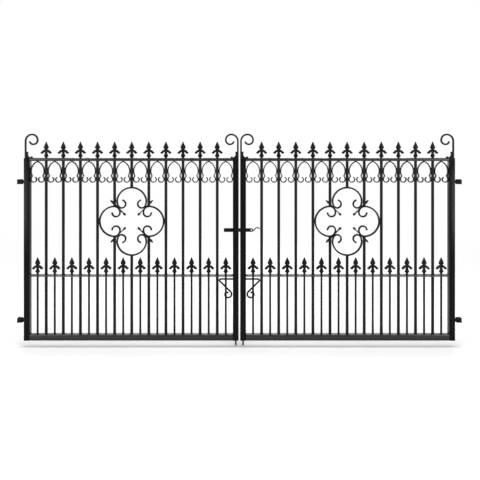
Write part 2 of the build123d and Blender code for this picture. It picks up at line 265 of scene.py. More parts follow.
class BarBender:
    """Bends one bar in the plane of the gate, run by run, as a smith does."""

    def __init__(
        self, section: BarSection, start: tuple[float, float], heading: float,
        setback: float = 0.0, facet: float = 9.0,
    ) -> None:
        """Starts the bar.

        Args:
            section: The bar's section.
            start: Where it starts, along X and Z.
            heading: The way it goes, in degrees from +X towards +Z.
            setback: How far behind the middle of the gate it lies.
            facet: The turn of one facet in degrees.
        """
        self.mesh = bmesh.new()
        self.place = Vector((start[0], setback, start[1]))
        self.heading = math.radians(heading)
        self.facet = facet
        verts = section.draw(self.mesh)
        laid = Matrix.Translation(self.place) @ Matrix.Rotation(math.pi / 2 - self.heading, 4, "Y")
        bmesh.ops.transform(self.mesh, matrix=laid, verts=verts)
        self.rim = ring_edges(verts)
        self.first_rim = list(self.rim)

    def ahead(self) -> Vector:
        """The direction in which the bar goes."""
        return Vector((math.cos(self.heading), 0, math.sin(self.heading)))

    def aside(self) -> Vector:
        """The direction square to it, on its left."""
        return Vector((-math.sin(self.heading), 0, math.cos(self.heading)))

    def straight(self, length: float) -> "BarBender":
        """Adds a straight run.

        Args:
            length: Its length in metres.

        Returns:
            The bender itself.
        """
        verts = verts_among(bmesh.ops.extrude_edge_only(self.mesh, edges=self.rim)["geom"])
        bmesh.ops.translate(self.mesh, verts=verts, vec=self.ahead() * length)
        self.rim = ring_edges(verts)
        self.place += self.ahead() * length
        return self

    def arc(self, radius: float, turn: float) -> "BarBender":
        """Adds an arc.

        Args:
            radius: Its radius at the middle of the bar.
            turn: Its turn in degrees, from +X towards +Z.

        Returns:
            The bender itself.
        """
        towards = math.copysign(1, turn)
        centre = self.place + self.aside() * towards * radius
        verts = list(dict.fromkeys(vert for edge in self.rim for vert in edge.verts))
        spun = bmesh.ops.spin(
            self.mesh, geom=verts + self.rim, cent=centre, axis=(0, -1, 0),
            angle=math.radians(turn), steps=max(2, math.ceil(abs(turn) / self.facet)),
            use_duplicate=False,
        )
        self.rim = ring_edges(verts_among(spun["geom_last"]))
        self.heading += math.radians(turn)
        self.place = centre - self.aside() * towards * radius
        return self

    def arc_to(self, x: float, z: float) -> "BarBender":
        """Adds the arc that starts along the bar and ends at a point.

        Args:
            x: The end along X.
            z: The end along Z.

        Returns:
            The bender itself.
        """
        reach = Vector((x, self.place.y, z)) - self.place
        return self.arc(*arc_beside(reach.dot(self.aside()), reach.dot(self.ahead())))

    def close(self) -> BMesh:
        """Closes both ends.

        Returns:
            The bar's mesh.
        """
        for rim in (self.first_rim, self.rim):
            bmesh.ops.edgeloop_fill(self.mesh, edges=[edge for edge in rim if edge.is_valid])
        bmesh.ops.recalc_face_normals(self.mesh, faces=self.mesh.faces)
        return self.mesh


def join(target: BMesh, piece: BMesh, places: list[Vector] | None = None) -> None:
    """Adds a piece, or a copy of it at each place, and frees the piece.

    Args:
        target: The mesh that gets the copies.
        piece: The mesh that is copied.
        places: How far each copy is moved, or None for the piece where it lies.
    """
    held = bpy.data.meshes.new("pattern")
    piece.to_mesh(held)
    piece.free()
    for place in places or [Vector()]:
        before = len(target.verts)
        target.from_mesh(held)
        target.verts.ensure_lookup_table()
        bmesh.ops.translate(target, verts=target.verts[before:], vec=place)
    bpy.data.meshes.remove(held)


def mirrored_half(mesh: BMesh) -> BMesh:
    """Mirrors a mesh about x = 0 and keeps both halves.

    Args:
        mesh: The half that is drawn.

    Returns:
        The same mesh with both halves.
    """
    bmesh.ops.mirror(mesh, geom=mesh.verts[:] + mesh.edges[:] + mesh.faces[:], axis="X", merge_dist=1e-5)
    bmesh.ops.recalc_face_normals(mesh, faces=mesh.faces)
    return mesh


def flat_shape(
    outline: list[tuple[float, float]], thickness: float, edge: float,
    holes: tuple[tuple[float, float, float], ...] = (),
) -> BMesh:
    """Cuts a shape out of a plate in the plane of the gate and rounds its edges.

    Args:
        outline: Its corners along X and Z, in millimetres.
        thickness: The plate's thickness in metres.
        edge: The rounding of its edges in metres.
        holes: The middle along X and Z and the radius of each round hole, in millimetres.

    Returns:
        The mesh of the shape.
    """
    mesh = bmesh.new()
    corners = [mesh.verts.new((x * MM, -thickness / 2, z * MM)) for x, z in outline]
    for number, corner in enumerate(corners):
        mesh.edges.new((corners[number - 1], corner))
    for x, z, radius in holes:
        place = Matrix.Translation((x * MM, -thickness / 2, z * MM)) @ Matrix.Rotation(math.pi / 2, 4, "X")
        bmesh.ops.create_circle(mesh, segments=24, radius=radius * MM, matrix=place)
    bmesh.ops.triangle_fill(mesh, use_beauty=True, use_dissolve=False, edges=mesh.edges[:], normal=(0, -1, 0))
    back = verts_among(bmesh.ops.extrude_face_region(mesh, geom=mesh.faces[:])["geom"])
    bmesh.ops.translate(mesh, verts=back, vec=(0, thickness, 0))
    rims = [rim for rim in sharp_edges(mesh, CREASE) if reach_along(rim, 1) < SAME_PLACE]
    round_edges(mesh, rims, edge)
    bmesh.ops.recalc_face_normals(mesh, faces=mesh.faces)
    return mesh


def set_down(name: str, data: ID) -> Object:
    """Puts a new object into the scene.

    Args:
        name: Its name.
        data: Its mesh, light or camera.

    Returns:
        The object.
    """
    made = bpy.data.objects.new(name, data)
    bpy.context.scene.collection.objects.link(made)
    return made


class NodeSheet:
    """Lays out the nodes of one shader tree."""

    def __init__(self, tree: NodeTree) -> None:
        """Takes an empty tree."""
        self.tree = tree

    @classmethod
    def clean(cls, owner: Material | World) -> "NodeSheet":
        """Empties the tree of a material or a world.

        Args:
            owner: The material or the world.

        Returns:
            The sheet for its tree.
        """
        owner.use_nodes = True
        owner.node_tree.nodes.clear()
        return cls(owner.node_tree)

    def put(self, kind: str, wired: dict | None = None, **settings: object) -> Node:
        """Adds a node, sets it up and wires its inputs.

        Args:
            kind: The node's type name.
            wired: Sockets or plain values, by input name or number.
            settings: The node's own properties.

        Returns:
            The node.
        """
        made = self.tree.nodes.new(kind)
        for name, value in settings.items():
            setattr(made, name, value)
        for name, value in (wired or {}).items():
            if isinstance(value, NodeSocket):
                self.tree.links.new(value, made.inputs[name])
            else:
                made.inputs[name].default_value = value
        return made

    def work(self, first: object, second: object, how: str = "MULTIPLY") -> NodeSocket:
        """Works on two values with a Math node and gives its result."""
        return self.put("ShaderNodeMath", {0: first, 1: second}, operation=how).outputs[0]

    def spread(
        self, value: object, low: float, high: float, to_low: object = 0.0, to_high: object = 1.0,
    ) -> NodeSocket:
        """Maps a value from one range onto another, smoothly and within it."""
        wired = {"Value": value, "From Min": low, "From Max": high, "To Min": to_low, "To Max": to_high}
        return self.put("ShaderNodeMapRange", wired, interpolation_type="SMOOTHSTEP").outputs[0]

    def noise(self, place: object, scale: float, detail: float) -> NodeSocket:
        """Puts a cloudy pattern at a place and gives its value."""
        wired = {"Vector": place, "Scale": scale, "Detail": detail}
        return self.put("ShaderNodeTexNoise", wired).outputs[0]

    def blend(self, factor: object, first: object, second: object) -> NodeSocket:
        """Blends two colours and gives the result."""
        return self.put("ShaderNodeMix", {0: factor, 6: first, 7: second}, data_type="RGBA").outputs[2]


class PaintShop:
    """Mixes the paints. Every one comes from the same film of black paint."""

    DEEP = (0.0025, 0.0025, 0.0027, 1)
    WORN = (0.009, 0.009, 0.0095, 1)
    DUST = (0.19, 0.18, 0.165, 1.0)
    BUMP_HEIGHT = 0.4 * MM

    def __init__(self) -> None:
        """Makes the shared group and starts with no materials."""
        self.film = self.make_film()
        self.mixed: dict[Finish, Material] = {}

    def make_film(self) -> NodeTree:
        """Builds the group for sprayed black paint with runs, peel, casting skin and dust.

        Returns:
            The node group.
        """
        film = bpy.data.node_groups.new("black_paint_film", "ShaderNodeTree")
        for name, kind, value in (
            ("Tint", "NodeSocketColor", (0.01, 0.01, 0.01, 1)), ("Smoothest", "NodeSocketFloat", 0.3),
            ("Roughest", "NodeSocketFloat", 0.5), ("Peel", "NodeSocketFloat", 0.3),
            ("Casting", "NodeSocketFloat", 0.0), ("Dust", "NodeSocketFloat", 0.3),
        ):
            film.interface.new_socket(name=name, in_out="INPUT", socket_type=kind).default_value = value
        for name, kind in (("Colour", "NodeSocketColor"), ("Roughness", "NodeSocketFloat"),
                           ("Height", "NodeSocketFloat")):
            film.interface.new_socket(name=name, in_out="OUTPUT", socket_type=kind)
        sheet = NodeSheet(film)
        given = sheet.put("NodeGroupInput").outputs
        place = sheet.put("ShaderNodeTexCoord").outputs["Object"]
        drawn_out = sheet.put("ShaderNodeMapping", {"Vector": place, "Scale": (26, 26, 1.6)}).outputs[0]
        runs = sheet.noise(drawn_out, 1.0, 3.0)
        cloud = sheet.noise(place, 3.4, 4.0)
        patch = sheet.noise(place, 21.0, 5.0)
        peel = sheet.noise(place, 620.0, 1.5)
        lumps = sheet.noise(place, 210.0, 5.0)
        pits = sheet.put("ShaderNodeTexVoronoi", {"Vector": place, "Scale": 380.0}).outputs["Distance"]
        level = sheet.put("ShaderNodeSeparateXYZ", {0: sheet.put("ShaderNodeNewGeometry").outputs["Normal"]})
        settled = sheet.work(sheet.spread(level.outputs["Z"], 0.35, 0.95), sheet.spread(patch, 0.36, 0.66))
        dust = sheet.work(settled, given["Dust"])
        specks = sheet.work(sheet.spread(lumps, 0.68, 0.76), 0.05)
        dusted = sheet.work(dust, specks, "ADD")
        deep = sheet.blend(sheet.spread(cloud, 0.35, 0.65), given["Tint"], self.DEEP)
        worn = sheet.blend(sheet.work(sheet.spread(patch, 0.5, 0.8), 0.35), deep, self.WORN)
        colour = sheet.blend(dusted, worn, self.DUST)
        uneven = sheet.work(sheet.work(runs, 0.6), sheet.work(patch, 0.4), "ADD")
        spread = sheet.spread(uneven, 0.38, 0.64, given["Smoothest"], given["Roughest"])
        rough = sheet.work(spread, sheet.work(dusted, 0.6), "ADD")
        skin = sheet.work(lumps, sheet.work(sheet.spread(pits, 0.0, 0.3, 1.0, 0.0), 0.35), "SUBTRACT")
        height = sheet.work(sheet.work(peel, given["Peel"]), sheet.work(skin, given["Casting"]), "ADD")
        sheet.put("NodeGroupOutput", {"Colour": colour, "Roughness": rough, "Height": height})
        return film

    def mix(self, finish: Finish) -> Material:
        """Gives the material of one finish.

        Args:
            finish: The finish that is asked for.

        Returns:
            Its material, which is built the first time.
        """
        if finish in self.mixed:
            return self.mixed[finish]
        paint = finish.value
        material = bpy.data.materials.new(f"satin_black_{finish.name.lower()}")
        sheet = NodeSheet.clean(material)
        film = sheet.put("ShaderNodeGroup", node_tree=self.film)
        for name, value in (
            ("Tint", (*paint.colour, 1)), ("Smoothest", paint.smoothest), ("Roughest", paint.roughest),
            ("Peel", paint.peel), ("Casting", paint.casting), ("Dust", paint.dust),
        ):
            film.inputs[name].default_value = value
        bump = sheet.put("ShaderNodeBump", {
            "Height": film.outputs["Height"], "Strength": paint.bump, "Distance": self.BUMP_HEIGHT,
        })
        shader = sheet.put("ShaderNodeBsdfPrincipled", {
            "Base Color": film.outputs["Colour"], "Roughness": film.outputs["Roughness"],
            "Normal": bump.outputs[0], "Specular IOR Level": paint.shine,
        })
        sheet.put("ShaderNodeOutputMaterial", {"Surface": shader.outputs[0]})
        self.mixed[finish] = material
        return material


class Fitter:
    """Places finished meshes on the leaves and paints them."""

    def __init__(self, shop: PaintShop) -> None:
        """Takes the paint shop."""
        self.shop = shop

    def hang(
        self, mesh: BMesh, name: str, finish: Finish, body: str,
        instead_of: str | None = None, crease: float = 32.0,
    ) -> Object:
        """Makes a piece from a mesh that lies in its place.

        Args:
            mesh: The mesh, which is freed.
            name: The piece's name.
            finish: Its finish.
            body: The body that it rides on.
            instead_of: The node that it stands for, if any.
            crease: The angle in degrees above which an edge stays sharp.

        Returns:
            The piece.
        """
        data = bpy.data.meshes.new(name)
        mesh.to_mesh(data)
        mesh.free()
        data.shade_smooth()
        data.set_sharp_from_angle(angle=math.radians(crease))
        data.materials.append(self.shop.mix(finish))
        piece = set_down(name, data)
        if instead_of:
            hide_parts(instead_of)
        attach(piece, body)
        LOG.info("%s: %d faces on %s", name, len(data.polygons), body)
        return piece

    def hang_pair(
        self, mesh: BMesh, name: str, finish: Finish, node: str | None = None,
        body: str = "leaf", crease: float = 32.0,
    ) -> None:
        """Makes a piece of the left leaf and its mirror image on the right one.

        Args:
            mesh: The left piece's mesh, which is freed.
            name: The piece's name without its side.
            finish: Its finish.
            node: The node that it stands for, without its side.
            body: The body's name without its side, or a whole name.
            crease: The angle in degrees above which an edge stays sharp.
        """
        for side in Side:
            copy = mesh.copy()
            if side is Side.RIGHT:
                flip = Matrix.Translation((2 * SIZES.middle, 0, 0)) @ Matrix.Scale(-1, 4, (1, 0, 0))
                bmesh.ops.transform(copy, matrix=flip, verts=copy.verts)
                bmesh.ops.reverse_faces(copy, faces=copy.faces)
            rides = body if body == POST_HINGES else f"{side.value}_{body}"
            stands_for = f"{side.value}_{node}" if node else None
            self.hang(copy, f"{side.value}_{name}", finish, rides, stands_for, crease)
        mesh.free()

    def eased(self, node: str, ease: float, crease: float = CREASE) -> BMesh:
        """Copies a solid's mesh and eases its sharp edges, as a file and paint do.

        Args:
            node: The node that is copied.
            ease: The width of the eased edge in metres.
            crease: The angle in degrees above which an edge is eased.

        Returns:
            The mesh with its edges eased.
        """
        mesh = bmesh.new()
        mesh.from_mesh(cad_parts[node].data)
        bmesh.ops.remove_doubles(mesh, verts=mesh.verts, dist=SAME_PLACE)
        bmesh.ops.dissolve_limit(mesh, angle_limit=math.radians(1), verts=mesh.verts[:], edges=mesh.edges[:])
        round_edges(mesh, sharp_edges(mesh, crease), ease)
        return mesh


@dataclass
class LeafFrame:
    """The stiles and rails, with the round corners of rolled tube."""

    fitter: Fitter
    corner: float = 4 * MM
    stile_ease: float = 0.9 * MM
    mid_rail_ease: float = 0.8 * MM
    mid_rail_crease: float = 60.0

    def rail(self, low: float, high: float) -> BMesh:
        """Cuts a length of rolled tube to fit between the stiles.

        Args:
            low: The height of its underside.
            high: The height of its top.

        Returns:
            The mesh of the rail in its place.
        """
        s = SIZES
        section = BarSection(high - low, s.stile, self.corner)
        tube = BarBender(section, (s.leaf_start + s.stile, (low + high) / 2), 0)
        return tube.straight(s.leaf_end - s.leaf_start - 2 * s.stile).close()

    def build(self) -> None:
        """Makes the rails, and rounds the corners of the stiles and of the punched flat."""
        s = SIZES
        for stile in ("hinge_stile", "meeting_stile"):
            mesh = self.fitter.eased(f"left_{stile}", self.stile_ease)
            self.fitter.hang_pair(mesh, f"{stile}_tube", Finish.STILE, stile)
        for name, low, high in (("bottom_rail", s.foot, s.bar_foot), ("top_rail", s.bar_head, s.leaf_top)):
            self.fitter.hang_pair(self.rail(low, high), f"{name}_tube", Finish.RAIL, name)
        rail = self.fitter.eased("left_mid_rail", self.mid_rail_ease, self.mid_rail_crease)
        self.fitter.hang_pair(rail, "punched_rail", Finish.RAIL, "mid_rail")


@dataclass
class WeldShop:
    """The welds that hold the infill and the frame together."""

    fitter: Fitter
    bead: float = 2.6 * MM
    seam_share: float = 0.8
    ripple: float = 2.4 * MM
    ring_swell: float = 0.05
    ring_waves: tuple[int, int] = (5, 3)
    seam_swell: float = 0.16
    seam_wave: float = 2.1

    def ring(self, radius: float) -> BMesh:
        """Lays a bead round a bar, with the ripples of the torch.

        Args:
            radius: The bar's radius in metres.

        Returns:
            The mesh of the bead about the origin.
        """
        mesh = bmesh.new()
        bmesh.ops.create_circle(mesh, segments=6, radius=self.bead)
        bmesh.ops.translate(mesh, verts=turned(mesh, 90, "X").verts, vec=(radius, 0, 0))
        bmesh.ops.spin(
            mesh, geom=mesh.verts[:] + mesh.edges[:], axis=(0, 0, 1), angle=math.tau, steps=20,
            use_merge=True,
        )
        bmesh.ops.remove_doubles(mesh, verts=mesh.verts, dist=SAME_PLACE)
        bmesh.ops.recalc_face_normals(mesh, faces=mesh.faces)
        many, few = self.ring_waves
        for vert in mesh.verts:
            angle = math.atan2(vert.co.y, vert.co.x)
            vert.co *= 1 + self.ring_swell * math.sin(angle * many) * math.sin(angle * few + 1)
        return mesh

    def seam(self, start: Vector, end: Vector) -> BMesh:
        """Lays a straight rippled bead.

        Args:
            start: Where the seam starts.
            end: Where it ends.

        Returns:
            The mesh of the bead in its place.
        """
        mesh = bmesh.new()
        length, radius = (end - start).length, self.bead * self.seam_share
        bmesh.ops.create_cone(mesh, cap_ends=True, segments=8, radius1=radius, radius2=radius, depth=length)
        sides = [edge for edge in mesh.edges if reach_along(edge, 2) > length / 2]
        cuts = max(3, int(length / self.ripple))
        bmesh.ops.subdivide_edges(mesh, edges=sides, cuts=cuts, use_grid_fill=False)
        for vert in mesh.verts:
            swell = 1 + self.seam_swell * math.sin(vert.co.z / self.ripple * self.seam_wave)
            vert.co.x *= swell
            vert.co.y *= swell
        turn = Vector((0, 0, 1)).rotation_difference(end - start).to_matrix().to_4x4()
        bmesh.ops.transform(mesh, matrix=Matrix.Translation((start + end) / 2) @ turn, verts=mesh.verts)
        return mesh

    def seams_round_rail(self, x: float, low: float, high: float) -> list[tuple[Vector, Vector]]:
        """Finds the four seams where a rail butts on a stile.

        Args:
            x: The face of the stile along X.
            low: The height of the lower seam.
            high: The height of the upper seam.

        Returns:
            The start and the end of each seam.
        """
        half = SIZES.stile / 2 - self.bead
        corners = [Vector((x, y, z)) for y, z in ((-half, low), (half, low), (half, high), (-half, high))]
        return [(corners[i], corners[(i + 1) % 4]) for i in range(4)]

    def build(self) -> None:
        """Lays every weld of a leaf and mirrors it."""
        welds = bmesh.new()
        s = SIZES
        for heights, radius, places in (
            ((s.bar_foot, s.bar_head, s.mid_rail_base, s.mid_rail_top), s.bar_radius, s.bar_places),
            ((s.bar_foot, s.mid_rail_base, s.mid_rail_top), s.dog_bar_radius, s.bay_places),
        ):
            join(welds, self.ring(radius), [Vector((x, 0, z)) for z in heights for x in places])
        inner = (s.leaf_start + s.stile, s.leaf_end - s.stile)
        for x in inner:
            for low, high in (
                (s.foot + self.bead, s.bar_foot), (s.mid_rail_base, s.mid_rail_top),
                (s.bar_head, s.leaf_top - self.bead),
            ):
                for start, end in self.seams_round_rail(x, low, high):
                    join(welds, self.seam(start, end))
        self.fitter.hang_pair(welds, "weld_beads", Finish.WELD)


@dataclass
class Infill:
    """The round bars of a leaf."""

    fitter: Fitter
    upright_reach: float = 237.8 * MM
    side_half_height: float = 108.8 * MM
    overlap: float = 0.2 * MM

    def bar(self, mesh: BMesh, x: float, low: float, high: float, radius: float) -> None:
        """Stands one round bar.

        Args:
            mesh: The mesh that gets it.
            x: Its place along X.
            low: The height of its foot.
            high: The height of its head.
            radius: Its radius in metres.
        """
        middle = Matrix.Translation((x, 0, (low + high) / 2))
        bmesh.ops.create_cone(
            mesh, cap_ends=True, segments=32, radius1=radius, radius2=radius, depth=high - low, matrix=middle,
        )

    def build(self) -> None:
        """Stands the main bars and the dog bars of a leaf and mirrors them."""
        s = SIZES
        main = bmesh.new()
        middle = s.bars // 2
        side, upright = self.side_half_height - self.overlap, self.upright_reach - self.overlap
        gaps = {middle - 1: side, middle: upright, middle + 1: side}
        for index, x in enumerate(s.bar_places):
            gap = gaps.get(index)
            if gap:
                self.bar(main, x, s.bar_foot, s.quatrefoil_z - gap, s.bar_radius)
                self.bar(main, x, s.quatrefoil_z + gap, s.bar_head, s.bar_radius)
            else:
                self.bar(main, x, s.bar_foot, s.bar_head, s.bar_radius)
        self.fitter.hang_pair(main, "round_bars", Finish.ROUND_BAR, "main_bars")
        dogs = bmesh.new()
        for x in s.bay_places:
            self.bar(dogs, x, s.bar_foot, s.dog_bar_head, s.dog_bar_radius)
        self.fitter.hang_pair(dogs, "short_bars", Finish.ROUND_BAR, "dog_bars")


@dataclass
class Castings:
    """The spear finials and the leaves in the corners.

    The stages give a finial's height and its radius over the ridges and over the valleys. The barb is the
    right half of its two side leaves, along X and Z. Both are in millimetres.
    """

    fitter: Fitter
    spine_width: float = 0.5 * MM
    barb_thickness: float = 12 * MM
    barb_edge: float = 2.6 * MM
    corner_leaf_edge: float = 1.6 * MM
    corner_leaf_crease: float = 12.0
    stages: tuple[tuple[float, float, float], ...] = (
        (0, 8, 6.6), (2, 8.8, 6.9), (4.5, 8.2, 6.2), (11.5, 16.4, 10.8), (14.5, 16.4, 10.7), (27, 11.4, 8),
        (33, 9.4, 6.8), (52, 9.6, 6.8), (60, 11.4, 7.4), (71, 19, 11.6), (74.5, 18.8, 11.3),
        (96, 9.4, 5.6), (113, 1.7, 1.2), (115, 0.6, 0.5),
    )
    barb: Rows = (
        (2, 56.5), (9, 57.6), (15, 56.8), (20.5, 54.4), (25.5, 50.4), (29.5, 46), (33, 42.6), (36.5, 40),
        (39.3, 36.8), (36.5, 32.6), (31, 29.6), (26, 28.8), (22, 30), (19, 33.6), (15, 38), (10, 41.4),
        (4, 43),
    )

    def finial(self) -> BMesh:
        """Casts one finial.

        Returns:
            Its mesh, with its foot at the origin.
        """
        mesh = bmesh.new()
        bmesh.ops.create_circle(mesh, segments=8, radius=MM)
        rim, ridges = mesh.verts[:], []
        first = ring_edges(rim)
        height, ridge, valley = 0.0, 1.0, 1.0
        for next_height, next_ridge, next_valley in self.stages:
            if ridges:
                rim = verts_among(bmesh.ops.extrude_edge_only(mesh, edges=ring_edges(rim))["geom"])
            bmesh.ops.translate(mesh, verts=rim, vec=(0, 0, (next_height - height) * MM))
            on_axis = [vert for vert in rim if min(abs(vert.co.x), abs(vert.co.y)) < SAME_PLACE]
            between = [vert for vert in rim if vert not in on_axis]
            for verts, growth in ((on_axis, next_ridge / ridge), (between, next_valley / valley)):
                bmesh.ops.scale(mesh, verts=verts, vec=(growth, growth, 1))
            height, ridge, valley = next_height, next_ridge, next_valley
            ridges += on_axis
        for ring in (first, ring_edges(rim)):
            bmesh.ops.edgeloop_fill(mesh, edges=ring)
        held = set(ridges)
        spines = [edge for edge in mesh.edges if edge.verts[0] in held and edge.verts[1] in held]
        round_edges(mesh, spines, self.spine_width, 1)
        bmesh.ops.recalc_face_normals(mesh, faces=mesh.faces)
        join(mesh, mirrored_half(flat_shape(list(self.barb), self.barb_thickness, self.barb_edge)))
        return mesh

    def build(self) -> None:
        """Sets every finial and corner leaf of a leaf and mirrors them."""
        s = SIZES
        for name, places, height in (
            ("upper", s.bar_places, s.leaf_top), ("lower", s.bay_places, s.dog_bar_head),
        ):
            row = bmesh.new()
            join(row, self.finial(), [Vector((x, 0, height)) for x in places])
            self.fitter.hang_pair(row, f"{name}_spears", Finish.CASTING, f"{name}_finials")
        leaves = self.fitter.eased("left_corner_leaves", self.corner_leaf_edge, self.corner_leaf_crease)
        self.fitter.hang_pair(leaves, "cast_corner_leaves", Finish.CASTING, "corner_leaves")


@dataclass(frozen=True)
class Lobe:
    """A C scroll of the quatrefoil, which opens towards the middle.

    It gives how far the centre of its back lies from the middle, the radius of its back, the turn in degrees
    of half its back, and the radius and the turn of each arc of its curl.
    """

    offset: float
    radius: float
    half_back: float
    curl: Rows


@dataclass
class Scrollwork:
    """The bent bars: the hoops, the quatrefoil and the scrolls on the stiles.

    The heights of a hoop count from the underside of the top rail, and a curl is the radius in metres and the
    turn in degrees of each of its arcs. The leaf is its reach and half its width, in millimetres.
    """

    fitter: Fitter
    hoop_bar: BarSection = BarSection(7 * MM, 16 * MM, 1.2 * MM)
    hoop_widest: float = -70 * MM
    hoop_cusp: float = -104 * MM
    hoop_neck: float = 9.9 * MM
    hoop_foot: float = -127 * MM
    hoop_curl: Rows = ((19.3 * MM, 180), (14 * MM, 75))
    lobe_bar: BarSection = BarSection(11 * MM, 16 * MM, 1.8 * MM)
    upright: Lobe = Lobe(130.4 * MM, 101.9 * MM, 70, ((75 * MM, 45), (27 * MM, 235)))
    side: Lobe = Lobe(116.7 * MM, 103.3 * MM, 85, ((41.4 * MM, 103), (27 * MM, 175)))
    leaf_thickness: float = 12 * MM
    leaf_edge: float = 1.6 * MM
    leaf: Rows = (
        (58, 0.6), (62, 5), (67, 8.6), (73, 7.5), (80, 4), (100, 3.4), (118, 3.6), (146, 4.6), (168, 6),
        (186, 7.6), (198, 5.4), (208, 0.6),
    )
    scroll_bar: BarSection = BarSection(12 * MM, 12 * MM, 2.2 * MM)
    scroll_stem: float = 117 * MM
    scroll_curl: Rows = ((45 * MM, 90), (38 * MM, 90), (30 * MM, 90), (25 * MM, 80))

    def hoop(self) -> BMesh:
        """Bends one hoop with its two scrolls.

        Returns:
            Its mesh, under the origin.
        """
        bay = SIZES.pitch - 2 * SIZES.bar_radius
        cusp = (self.hoop_neck - (bay - self.hoop_bar.across) / 2, self.hoop_cusp)
        radius, turn = arc_beside(self.hoop_neck, self.hoop_widest - self.hoop_cusp)
        arch = BarBender(self.hoop_bar, cusp, 90 + turn).arc(radius, -turn)
        arch.arc_to(0, -self.hoop_bar.across / 2)
        radius, turn = arc_beside(self.hoop_neck, self.hoop_cusp - self.hoop_foot)
        curl = BarBender(self.hoop_bar, cusp, -90 - turn).arc(radius, turn)
        for radius, turn in self.hoop_curl:
            curl.arc(radius, turn)
        mesh = bmesh.new()
        for bar in (arch, curl):
            join(mesh, bar.close())
        return mirrored_half(mesh)

    def c_scroll(self, lobe: Lobe) -> BMesh:
        """Bends one C scroll of the quatrefoil.

        Args:
            lobe: Its sizes.

        Returns:
            Its mesh, with its back up, opening towards the origin.
        """
        bar = BarBender(self.lobe_bar, (0, lobe.offset + lobe.radius), 180, facet=7.0)
        bar.arc(lobe.radius, lobe.half_back)
        for radius, turn in lobe.curl:
            bar.arc(radius, turn)
        bmesh.ops.edgeloop_fill(bar.mesh, edges=bar.rim)
        return mirrored_half(bar.mesh)

    def quatrefoil(self) -> BMesh:
        """Welds four C scrolls and four leaves into one panel.

        Returns:
            Its mesh about the origin.
        """
        panel = bmesh.new()
        for lobe, turns in ((self.upright, (0, 180)), (self.side, (90, 270))):
            for turn in turns:
                join(panel, turned(self.c_scroll(lobe), turn))
        outline = list(self.leaf) + [(reach, -half) for reach, half in reversed(self.leaf)]
        for turn in (45, 135, 225, 315):
            join(panel, turned(flat_shape(outline, self.leaf_thickness, self.leaf_edge), turn))
        return panel

    def stile_scroll(self, stem_x: float, turn_side: int) -> BMesh:
        """Bends the scroll over one stile.

        Args:
            stem_x: The middle of its stem along X.
            turn_side: 1 if it curls towards +X, -1 if towards -X.

        Returns:
            The mesh of the scroll in its place.
        """
        bar = BarBender(self.scroll_bar, (stem_x, SIZES.leaf_top), 90, facet=6.0).straight(self.scroll_stem)
        for radius, turn in self.scroll_curl:
            bar.arc(radius, -turn_side * turn)
        return bar.close()

    def build(self) -> None:
        """Makes all the bent bars of a leaf and mirrors them."""
        s = SIZES
        hoops = bmesh.new()
        join(hoops, self.hoop(), [Vector((x, 0, s.bar_head)) for x in s.bay_places])
        self.fitter.hang_pair(hoops, "bent_hoops", Finish.BENT_BAR, "hoops")
        panel = bmesh.new()
        join(panel, self.quatrefoil(), [Vector((s.bar_places[s.bars // 2], 0, s.quatrefoil_z))])
        self.fitter.hang_pair(panel, "quatrefoil_panel", Finish.BENT_BAR, "quatrefoil")
        scrolls = bmesh.new()
        half = self.scroll_bar.across / 2
        for stem_x, turn_side in ((s.leaf_start + half, 1), (s.leaf_end - half, -1)):
            join(scrolls, self.stile_scroll(stem_x, turn_side))
        self.fitter.hang_pair(scrolls, "scrolls_on_stiles", Finish.BENT_BAR, "stile_scrolls")


@dataclass
class DropBolts:
    """The drop bolts with their curled handles, and the guides that they slide in.

    Heights count from the foot of the leaves. The back is the run from the end of the arm to the curl, along
    X and Z, and the curl is the radius and the turn in degrees of each of its arcs.
    """

    fitter: Fitter
    place: tuple[float, float] = (1499 * MM, 32 * MM)
    bar: BarSection = BarSection(12 * MM, 12 * MM, sides=20)
    tip: float = -47 * MM
    arm: float = 408.5 * MM
    arm_reach: float = 126 * MM
    bend: float = 12 * MM
    corner: float = 9 * MM
    back: tuple[float, float] = (89.3 * MM, -88.3 * MM)
    curl: Rows = ((24 * MM, 134), (22.5 * MM, 90), (14 * MM, 130))
    collar: float = 366.3 * MM
    collar_radius: float = 10 * MM
    collar_height: float = 8 * MM
    collar_edge: float = 1 * MM
    guide_ease: float = 1 * MM

    def drop_bolt(self) -> BMesh:
        """Bends the left drop bolt with its handle and collar.

        Returns:
            Its mesh in its place.
        """
        x, y = self.place
        corner_turn = 180 - math.degrees(math.atan2(-self.back[1], self.back[0]))
        trimmed = self.corner * math.tan(math.radians(corner_turn / 2))
        bar = BarBender(self.bar, (x, SIZES.foot + self.tip), 90, y)
        bar.straight(self.arm - self.tip - self.bend).arc(self.bend, 90)
        bar.straight(self.arm_reach - self.bend - trimmed).arc(self.corner, corner_turn)
        bar.straight(math.hypot(*self.back) - trimmed)
        for radius, turn in self.curl:
            bar.arc(radius, -turn)
        mesh = bar.close()
        collar = bmesh.new()
        bmesh.ops.create_cone(
            collar, cap_ends=True, segments=32, radius1=self.collar_radius, radius2=self.collar_radius,
            depth=self.collar_height,
        )
        rims = [edge for edge in collar.edges if reach_along(edge, 2) < SAME_PLACE]
        round_edges(collar, rims, self.collar_edge)
        join(mesh, collar, [Vector((x, y, SIZES.foot + self.collar))])
        return mesh

    def build(self) -> None:
        """Makes the left drop bolt and its guides and mirrors them."""
        self.fitter.hang_pair(self.drop_bolt(), "bent_drop_bolt", Finish.FITTING, "drop_bolt", "drop_bolt")
        guides = self.fitter.eased("left_bolt_guides", self.guide_ease)
        self.fitter.hang_pair(guides, "drop_bolt_guides", Finish.FITTING, "bolt_guides")


